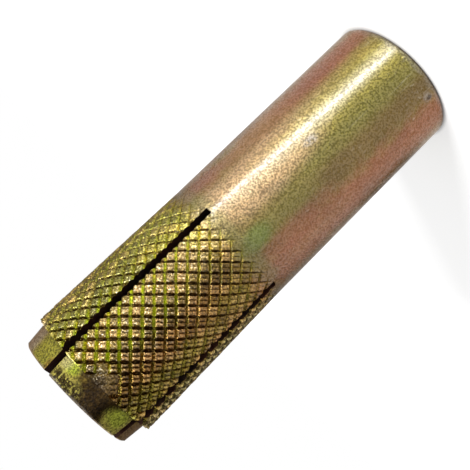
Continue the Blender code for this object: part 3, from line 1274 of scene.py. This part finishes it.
@dataclass(frozen=True)
class TurnedFinish:
    """Bare turned steel: bright, with rings from the tool and a few dull spots."""

    name: str = "turned_steel"
    bright: Colour = srgb(196, 193, 188)
    dull: Colour = srgb(150, 144, 134)
    spots: Step = Step(0.4, 0.7)
    roughness: Step = Step(0.3, 0.7, 0.24, 0.4)
    rings: float = 0.12 * MM
    depth: float = 0.004 * MM

    def build(self, effects: Effects) -> bpy.types.Material:
        """Read the rings from a wave of fixed pitch along the profile, and the spots from the shared cloud.

        Args:
            effects: the shared node groups.

        Returns:
            The material.
        """
        material, graph, shader = open_material(self.name)
        position = graph.node("TexCoord").outputs["Object"]
        variation = graph.group(effects.plating, Wrapped=position).outputs
        flat = graph.vector("MULTIPLY", position, (1.0, 1.0, 0.0)).outputs[0]
        along = graph.math("ADD", graph.height_of(position), graph.vector("LENGTH", flat).outputs["Value"])
        wave = graph.math("SINE", graph.math("MULTIPLY", along, FULL_TURN / self.rings))
        cloud = variation["Cloud"]
        graph.fill(shader, {
            "Base Color": graph.blend(graph.step(cloud, self.spots), self.bright, self.dull),
            "Roughness": graph.step(cloud, self.roughness),
            "Metallic": 1.0})
        graph.bump(shader, graph.math("ADD", wave, variation["Grain"]), self.depth)
        return material


SHANK_ZONES = (
    Zone(Tint.TAN, 55.0, 15.5, 17.0, 13.0, 0.9),
    Zone(Tint.ROSE, 56.0, 6.5, 13.0, 7.0, 0.95),
    Zone(Tint.ROSE, 59.0, 25.3, 12.0, 2.6, 0.8),
    Zone(Tint.OLIVE, 66.0, 21.5, 6.0, 2.0, 0.6),
    Zone(Tint.SHELL, 71.0, 24.4, 7.0, 2.4, 0.65),
    Zone(Tint.SHELL, 30.0, 20.0, 12.0, 12.0, 0.7),
    Zone(Tint.OLIVE, 14.0, 6.0, 22.0, 14.0, 0.8),
    Zone(Tint.SHELL, 13.0, 21.0, 11.0, 8.0, 0.7),
    Zone(Tint.OLIVE, -6.0, 6.0, 11.0, 12.0, 0.6),
    Zone(Tint.UMBER, -21.0, 14.0, 11.0, 40.0, 0.85),
    Zone(Tint.OLIVE, -13.0, 22.0, 9.0, 5.0, 0.6),
    Zone(Tint.ROSE, -50.0, 12.0, 17.0, 40.0, 0.85),
    Zone(Tint.ROSE, -30.0, 22.0, 10.0, 5.5, 0.55),
    Zone(Tint.TAN, -46.0, 20.0, 7.0, 5.0, 0.4),
    Zone(Tint.UMBER, -76.0, 14.0, 9.0, 40.0, 0.7),
    Zone(Tint.GRASS, -12.0, 25.8, 8.0, 1.8, 0.7),
    Zone(Tint.STRAW, 110.0, 14.0, 18.0, 40.0, 0.8),
    Zone(Tint.ROSE, 140.0, 9.0, 13.0, 18.0, 0.8),
    Zone(Tint.UMBER, 172.0, 16.0, 14.0, 40.0, 0.8),
    Zone(Tint.ROSE, -150.0, 6.0, 14.0, 14.0, 0.8),
    Zone(Tint.STRAW, -118.0, 16.0, 16.0, 30.0, 0.8),
    Zone(Tint.MOSS, 0.0, 27.6, 175.0, 1.1, 0.45, 0.5, 0.9),
    # Painted highlight: the pale core of the streak.
    Zone(Tint.SHEEN, 20.0, 9.0, 7.0, 15.0, 0.5, 0.7),
    Zone(Tint.BARE, 0.0, -0.1, 175.0, 0.75, 0.4, 0.4, 0.8, 0.5),
    # Painted shade: a dark rim round the mouth's chamfer.
    Zone(Tint.RIM_SHADE, 0.0, -0.2, 175.0, 0.36, 0.8, 0.4, 0.5),
    Zone(Tint.BARE, 11.5, 14.6, 3.0, 1.0, 0.8, 0.6, 0.9, 0.8),
    Zone(Tint.BARE, -30.0, 1.4, 3.4, 0.5, 0.6, 0.6, 0.9, 0.8),
    Zone(Tint.BURNT_AND_SHADE, -31.0, 1.3, 1.6, 0.3, 0.8, 0.5, 0.9),
)

LEG_ZONES = (
    Zone(Tint.FERN, 56.0, 37.0, 30.0, 40.0, 0.95),
    Zone(Tint.STRAW, 36.0, 30.0, 9.0, 7.0, 0.7),
    # Painted highlight on the tops in the knurl's lit zone.
    Zone(Tint.SHELL, 14.0, 36.0, 13.0, 12.0, 0.3),
    Zone(Tint.BROWN, -26.0, 38.0, 26.0, 40.0, 0.95),
    Zone(Tint.TAN, -28.0, 37.0, 14.0, 8.0, 0.3),
    Zone(Tint.OLIVE, -36.0, 29.5, 16.0, 4.5, 0.4),
    Zone(Tint.OLIVE, -43.0, 43.0, 11.0, 8.0, 0.55),
    Zone(Tint.BROWN, 66.0, 44.0, 12.0, 8.0, 0.4),
    Zone(Tint.OLIVE, -68.0, 38.0, 14.0, 40.0, 0.6),
    Zone(Tint.OLIVE, 120.0, 38.0, 26.0, 40.0, 0.8),
    Zone(Tint.BROWN, 176.0, 38.0, 26.0, 40.0, 0.8),
    Zone(Tint.STRAW, -130.0, 38.0, 22.0, 40.0, 0.7),
    Zone(Tint.GOLD, 18.0, 28.6, 16.0, 2.6, 0.7, 0.6, 0.9),
    Zone(Tint.SHELL, 66.0, 48.8, 12.0, 1.5, 0.9),
    Zone(Tint.PALE, 67.0, 48.8, 11.0, 1.5, 0.55),
    Zone(Tint.STRAW, 42.0, 48.8, 15.0, 1.45, 0.95),
    Zone(Tint.TAN, 31.0, 49.5, 4.0, 1.0, 0.5),
    Zone(Tint.GOLD, 21.0, 48.3, 7.0, 1.2, 0.9),
    Zone(Tint.LIME, 14.0, 47.9, 6.0, 0.8, 0.7),
    # A painted glint on the nose, gold and pale.
    Zone(Tint.GOLD, 20.5, 47.8, 5.0, 0.7, 0.6),
    Zone(Tint.PALE, 20.5, 47.8, 5.0, 0.7, 0.2),
    Zone(Tint.BURNT_AND_SHADE, -9.0, 49.0, 20.0, 1.75, 0.95, 0.25, 0.8, 0.4),
    Zone(Tint.GOLD, 10.0, 49.4, 12.0, 1.2, 0.9, 0.4, 0.6),
    Zone(Tint.BURNT_AND_SHADE, 8.0, 49.5, 16.0, 1.0, 0.95, 0.3, 0.9, 1.0),
    Zone(Tint.BURNT_AND_SHADE, -4.0, 46.9, 12.0, 0.9, 0.6, 0.5, 0.9),
    Zone(Tint.GOLD, -44.0, 48.8, 15.0, 1.6, 0.95, 0.35, 0.5),
    Zone(Tint.LIME, -40.0, 48.3, 10.0, 1.0, 0.6, 0.5, 0.5),
    Zone(Tint.SHELL, -68.0, 48.8, 14.0, 1.5, 0.9),
    # Painted sheen: lighter on the legs' far right edge.
    Zone(Tint.SHEEN, -74.0, 38.0, 11.0, 30.0, 0.35),
    Zone(Tint.LEAF, 130.0, 48.8, 22.0, 1.5, 0.9),
    Zone(Tint.ROSE, 170.0, 48.8, 14.0, 1.5, 0.8),
    Zone(Tint.LEAF, -120.0, 48.8, 24.0, 1.5, 0.9),
    Zone(Tint.BARE, 0.0, 50.3, 175.0, 0.5, 0.5, 0.3, 0.6),
)


@dataclass
class Sleeve:
    """The plated sleeve: its shank and four knurled legs."""

    shank: Shank = field(default_factory=Shank)
    pieces: list[bpy.types.Object] = field(default_factory=list)

    def build(self) -> None:
        """Build the shank, and a leg between each saw cut and the next."""
        self.pieces.append(self.shank.build())
        cuts = SLEEVE.slot_degrees
        for number, (first, last) in enumerate(zip(cuts, cuts[1:]), start=1):
            self.pieces.append(Leg(number, math.radians(first), math.radians(last)).build())

    def dress(self, effects: Effects) -> None:
        """Give the pieces their materials and bodies, and let them stand for the solid.

        Args:
            effects: the shared node groups.
        """
        shank_finish = PlatedFinish("plated_shank", Tint.HONEY, SHANK_ZONES).build(effects)
        knurl_finish = PlatedFinish("plated_knurl", Tint.HONEY, SHANK_ZONES, LEG_ZONES, scratches=0.0)
        leg_finish = knurl_finish.build(effects)
        sawn = SawnFinish().build(effects)
        for piece in self.pieces:
            knurled = piece.name.startswith("knurled")
            for finish in (leg_finish, sawn) if knurled else (shank_finish,):
                piece.data.materials.append(finish)
            report(piece, Body.SLEEVE)
            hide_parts("anchor_sleeve")


@dataclass
class Expander:
    """The plug inside the sleeve."""

    plug: Plug = field(default_factory=Plug)

    def build(self, effects: Effects) -> None:
        """Build and dress the plug.

        Args:
            effects: the shared node groups.
        """
        piece = self.plug.build()
        piece.data.materials.append(TurnedFinish().build(effects))
        report(piece, Body.PLUG)
        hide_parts("expander_plug")


def report(piece: bpy.types.Object, body: Body) -> None:
    """Let a piece ride on its body and log its size.

    Args:
        piece: the finished piece.
        body: the body that it rides on.
    """
    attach(piece, body.value)
    triangles = sum(len(face.vertices) - 2 for face in piece.data.polygons)
    log.info("%s: %d triangles, on %s", piece.name, triangles, body.value)


@dataclass(frozen=True)
class Lamp:
    """A rectangular soft light that faces the anchor, placed by its side from the camera and its tilt."""

    name: str
    side: float
    rise: float
    distance: float
    width: float
    height: float
    power: float
    tilt: float = 0.0
    aim: float = 25.0 * MM

    def place(self, floor: bpy.types.Object) -> None:
        """Add the lamp, turned to the anchor's middle and then about its own line of sight.

        Args:
            floor: the floor, which never blocks the lamp, so a low lamp may stand partly below it.
        """
        data = bpy.data.lights.new(self.name, "AREA")
        data.shape = "RECTANGLE"
        data.size = self.width
        data.size_y = self.height
        data.energy = self.power
        heading = VIEW.azimuth + math.radians(self.side)
        rise = math.radians(self.rise)
        way = Vector((math.cos(rise) * math.cos(heading), math.cos(rise) * math.sin(heading), math.sin(rise)))
        turn = way.to_track_quat("Z", "Y").to_matrix() @ Matrix.Rotation(math.radians(self.tilt), 3, "Z")
        stand = way * self.distance + Vector((0.0, 0.0, self.aim))
        lamp = bpy.data.objects.new(self.name, data)
        lamp.matrix_world = Matrix.Translation(stand) @ turn.to_4x4()
        blockers = bpy.data.collections.new(self.name + "_blockers")
        blockers.objects.link(floor)
        blockers.collection_objects[0].light_linking.link_state = "EXCLUDE"
        lamp.light_linking.blocker_collection = blockers
        bpy.context.scene.collection.objects.link(lamp)


@dataclass(frozen=True)
class Shade:
    """A grey sheet with soft edges that only reflections see, placed by its side from the camera."""

    name: str
    side: float
    half_side: float
    level: float
    steps: int = 24

    def azimuth(self, across: np.ndarray) -> np.ndarray:
        """The azimuths of shares from -1 to 1 across the sheet."""
        return VIEW.azimuth + np.radians(self.side + self.half_side * across)

    def spread(self, across: np.ndarray, up: np.ndarray) -> np.ndarray:
        """Lay out the sheet.

        Args:
            across: shares from -1 to 1 across the sheet, as a row.
            up: shares from -1 to 1 up the sheet, as a column.

        Returns:
            One row a point.
        """
        raise NotImplementedError

    def fade(self, up: np.ndarray) -> np.ndarray:
        """The cover up the sheet: 0 at its edges and 1 over its middle half."""
        return smooth(2.0 - 2.0 * np.abs(up))

    def place(self) -> None:
        """Add the sheet; its cover across is 0 at its edges and 1 over its middle half."""
        across = np.linspace(-1.0, 1.0, self.steps)[None, :]
        up = np.linspace(-1.0, 1.0, self.steps)[:, None]
        faces = grid_faces(self.steps, self.steps)
        inner = np.arange(len(faces)) % self.steps != self.steps - 1
        sheet = make_piece(self.name, self.spread(across, up), [faces[inner]])
        keep_at_points(sheet, "cover", smooth(2.0 - 2.0 * np.abs(across)) * self.fade(up))
        sheet.data.materials.append(self.material())
        sheet.visible_camera = False
        sheet.visible_diffuse = False
        sheet.visible_shadow = False

    def material(self) -> bpy.types.Material:
        """A dim glow where the cover is 1, and clear where it is 0.

        Returns:
            The material.
        """
        material, graph, _ = open_material(self.name)
        glow = graph.node("Emission")
        graph.fill(glow, {"Color": (self.level,) * 3})
        mix = graph.node("MixShader")
        clear = graph.node("BsdfTransparent")
        for socket, value in zip(mix.inputs, (graph.attribute("cover"), clear.outputs[0], glow.outputs[0])):
            graph.put(socket, value)
        graph.fill(material.node_tree.nodes["Material Output"], {"Surface": mix.outputs[0]})
        return material


@dataclass(frozen=True)
class ShadeCard(Shade):
    """A shade that stands round the anchor, as a patch of a sphere."""

    rise: float = 0.0
    half_rise: float = 30.0
    distance: float = 100.0 * MM

    def spread(self, across: np.ndarray, up: np.ndarray) -> np.ndarray:
        """Keep one distance from the anchor's middle: it times the rise's cosine out, and times its sine up.

        Args:
            across: shares from -1 to 1 across the sheet, as a row.
            up: shares from -1 to 1 up the sheet, as a column.

        Returns:
            One row a point.
        """
        rise = np.radians(self.rise + self.half_rise * up)
        height = self.distance * np.sin(rise) + SLEEVE.length / 2.0
        return around_axis(self.distance * np.cos(rise), self.azimuth(across), height)


@dataclass(frozen=True)
class ShadeFan(Shade):
    """A shade that lies on the floor where the shank's side mirrors it, placed by its side on the shank."""

    near: float = 0.0
    reach: float = 260.0 * MM
    lift: float = 0.02 * MM
    fade_in: float = 20.0 * MM

    def outwards(self, up: np.ndarray) -> np.ndarray:
        """How far from the shank each row lies: the square of its share of the way, times the reach."""
        return self.reach * ((1.0 + up) / 2.0) ** 2

    def fade(self, up: np.ndarray) -> np.ndarray:
        """The cover outwards: it grows over a short way from the near end, and is gone at the outer edge."""
        start = smooth((self.outwards(up) - self.near) / self.fade_in) if self.near else 1.0
        return start * smooth(1.0 - up)

    def spread(self, across: np.ndarray, up: np.ndarray) -> np.ndarray:
        """Follow each level ray that the shank mirrors to the camera; it leaves at twice its side, or more.

        Args:
            across: shares from -1 to 1 across the sheet, as a row.
            up: shares from -1 to 1 up the sheet, as a column.

        Returns:
            One row a point.
        """
        radius = SLEEVE.shank_radius
        start = self.azimuth(across)
        side = start - VIEW.azimuth
        heading = start + side + np.arctan2(radius * np.sin(side), VIEW.distance - radius * np.cos(side))
        out = self.outwards(up)
        east = radius * np.cos(start) + out * np.cos(heading)
        north = radius * np.sin(start) + out * np.sin(heading)
        return np.stack((east, north, np.full_like(east, self.lift)), axis=-1).reshape(-1, 3)


@dataclass(frozen=True)
class Studio:
    """The pale floor, the white surroundings, the lamps and the grey shades."""

    floor_radius: float = 400.0 * MM
    floor_rings: int = 24
    floor_columns: int = 96
    floor_drop: float = 0.01 * MM
    soft_level: float = 0.55
    floor_glow: tuple[float, float] = (0.45, 0.62)
    glow_change: tuple[float, float] = (30.0 * MM, 200.0 * MM)
    contact_shadow: tuple[float, float] = (-0.3 * MM, 0.5 * MM)
    seen_glow: float = 0.05
    lamps: tuple[Lamp, ...] = (
        Lamp("key_softbox", 46.0, 46.0, 420.0 * MM, 110.0 * MM, 110.0 * MM, 0.9),
        Lamp("streak_strip", 45.4, -21.2, 161.0 * MM, 13.0 * MM, 100.0 * MM, 0.112, -33.0),
    )
    shades: tuple[Shade, ...] = (
        ShadeCard("shade_card_upper", -85.0, 60.0, 0.06, rise=42.0, half_rise=38.0, distance=150.0 * MM),
        ShadeCard("shade_card_right", -138.0, 42.0, 0.2, rise=14.0, half_rise=34.0, distance=95.0 * MM),
        ShadeCard("shade_card_left", 142.0, 34.0, 0.42, rise=14.0, half_rise=34.0, distance=95.0 * MM),
        ShadeFan("shade_fan_right", -84.0, 32.0, 0.07, near=2.0 * MM),
        ShadeFan("shade_fan_left", 90.0, 34.0, 0.78),
    )

    def place(self) -> None:
        """Add everything that lights the anchor or stands round it."""
        self.surround()
        floor = self.floor()
        for lamp in self.lamps:
            lamp.place(floor)
        for shade in self.shades:
            shade.place()

    def surround(self) -> None:
        """Light softly from all round, and show plain white to the rays that are seen."""
        world = bpy.data.worlds.new("white_surround")
        world.use_nodes = True
        bpy.context.scene.world = world
        graph = Graph(world.node_tree)
        back = world.node_tree.nodes["Background"]
        white = (1.0, 1.0, 1.0)
        graph.fill(back, {"Color": white, "Strength": graph.between(self.seen(graph), self.soft_level, 1.0)})

    def seen(self, graph: Graph) -> Socket:
        """Tell the rays that are seen: from the camera, from reflections and through glass.

        Args:
            graph: the material's or the world's graph.

        Returns:
            1 for them and 0 for the rest.
        """
        rays = graph.node("LightPath").outputs
        some = graph.math("ADD", rays["Is Camera Ray"], rays["Is Glossy Ray"])
        return graph.math("ADD", some, rays["Is Transmission Ray"], clamp=True)

    def floor(self) -> bpy.types.Object:
        """Add a round pale floor that glows a little, so that only the anchor's shadow is darker than white.

        Returns:
            The floor.
        """
        rings = self.floor_radius * np.linspace(0.0, 1.0, self.floor_rings + 1)[1:, None] ** 2
        level = np.full_like(rings, -self.floor_drop)
        middle = ((0.0, 0.0, -self.floor_drop),)
        points = np.concatenate((around_axis(rings, all_round(self.floor_columns), level), middle))
        faces = grid_faces(len(rings), self.floor_columns)[:, ::-1]
        floor = make_piece("pale_floor", points, [faces, fan_faces(len(points) - 1, 0, self.floor_columns)])
        floor.data.materials.append(self.floor_material())
        return floor

    def floor_material(self) -> bpy.types.Material:
        """A matt white that glows outside the shank, more so far off and for the rays that are seen; where
        the glow stops at the shank's foot is a painted contact shadow.

        Returns:
            The material.
        """
        material, graph, shader = open_material("pale_floor")
        far = graph.vector("LENGTH", graph.node("TexCoord").outputs["Object"]).outputs["Value"]
        # The glow grows from nothing just inside the shank's edge to full half a millimetre out: a painted
        # contact shadow at its foot.
        lit = graph.ramp(far, *(SLEEVE.shank_radius + off for off in self.contact_shadow))
        glow = graph.ramp(far, *self.glow_change, *self.floor_glow)
        glow = graph.math("ADD", glow, graph.math("MULTIPLY", self.seen(graph), self.seen_glow))
        graph.fill(shader, {
            "Base Color": (0.8, 0.8, 0.8),
            "Roughness": 0.9,
            "Specular IOR Level": 0.0,
            "Emission Color": (1.0, 1.0, 1.0),
            "Emission Strength": graph.math("MULTIPLY", glow, lit)})
        return material


def main() -> None:
    """Build the anchor, its studio and the camera."""
    logging.basicConfig(level=logging.INFO, format="%(name)s %(message)s")
    bpy.context.scene.view_settings.view_transform = "Standard"
    VIEW.place()
    effects = Effects(wrapped_group(), zone_group(), plating_group())
    sleeve = Sleeve()
    sleeve.build()
    sleeve.dress(effects)
    Expander().build(effects)
    Studio().place()


if __name__ == "__main__":
    main()
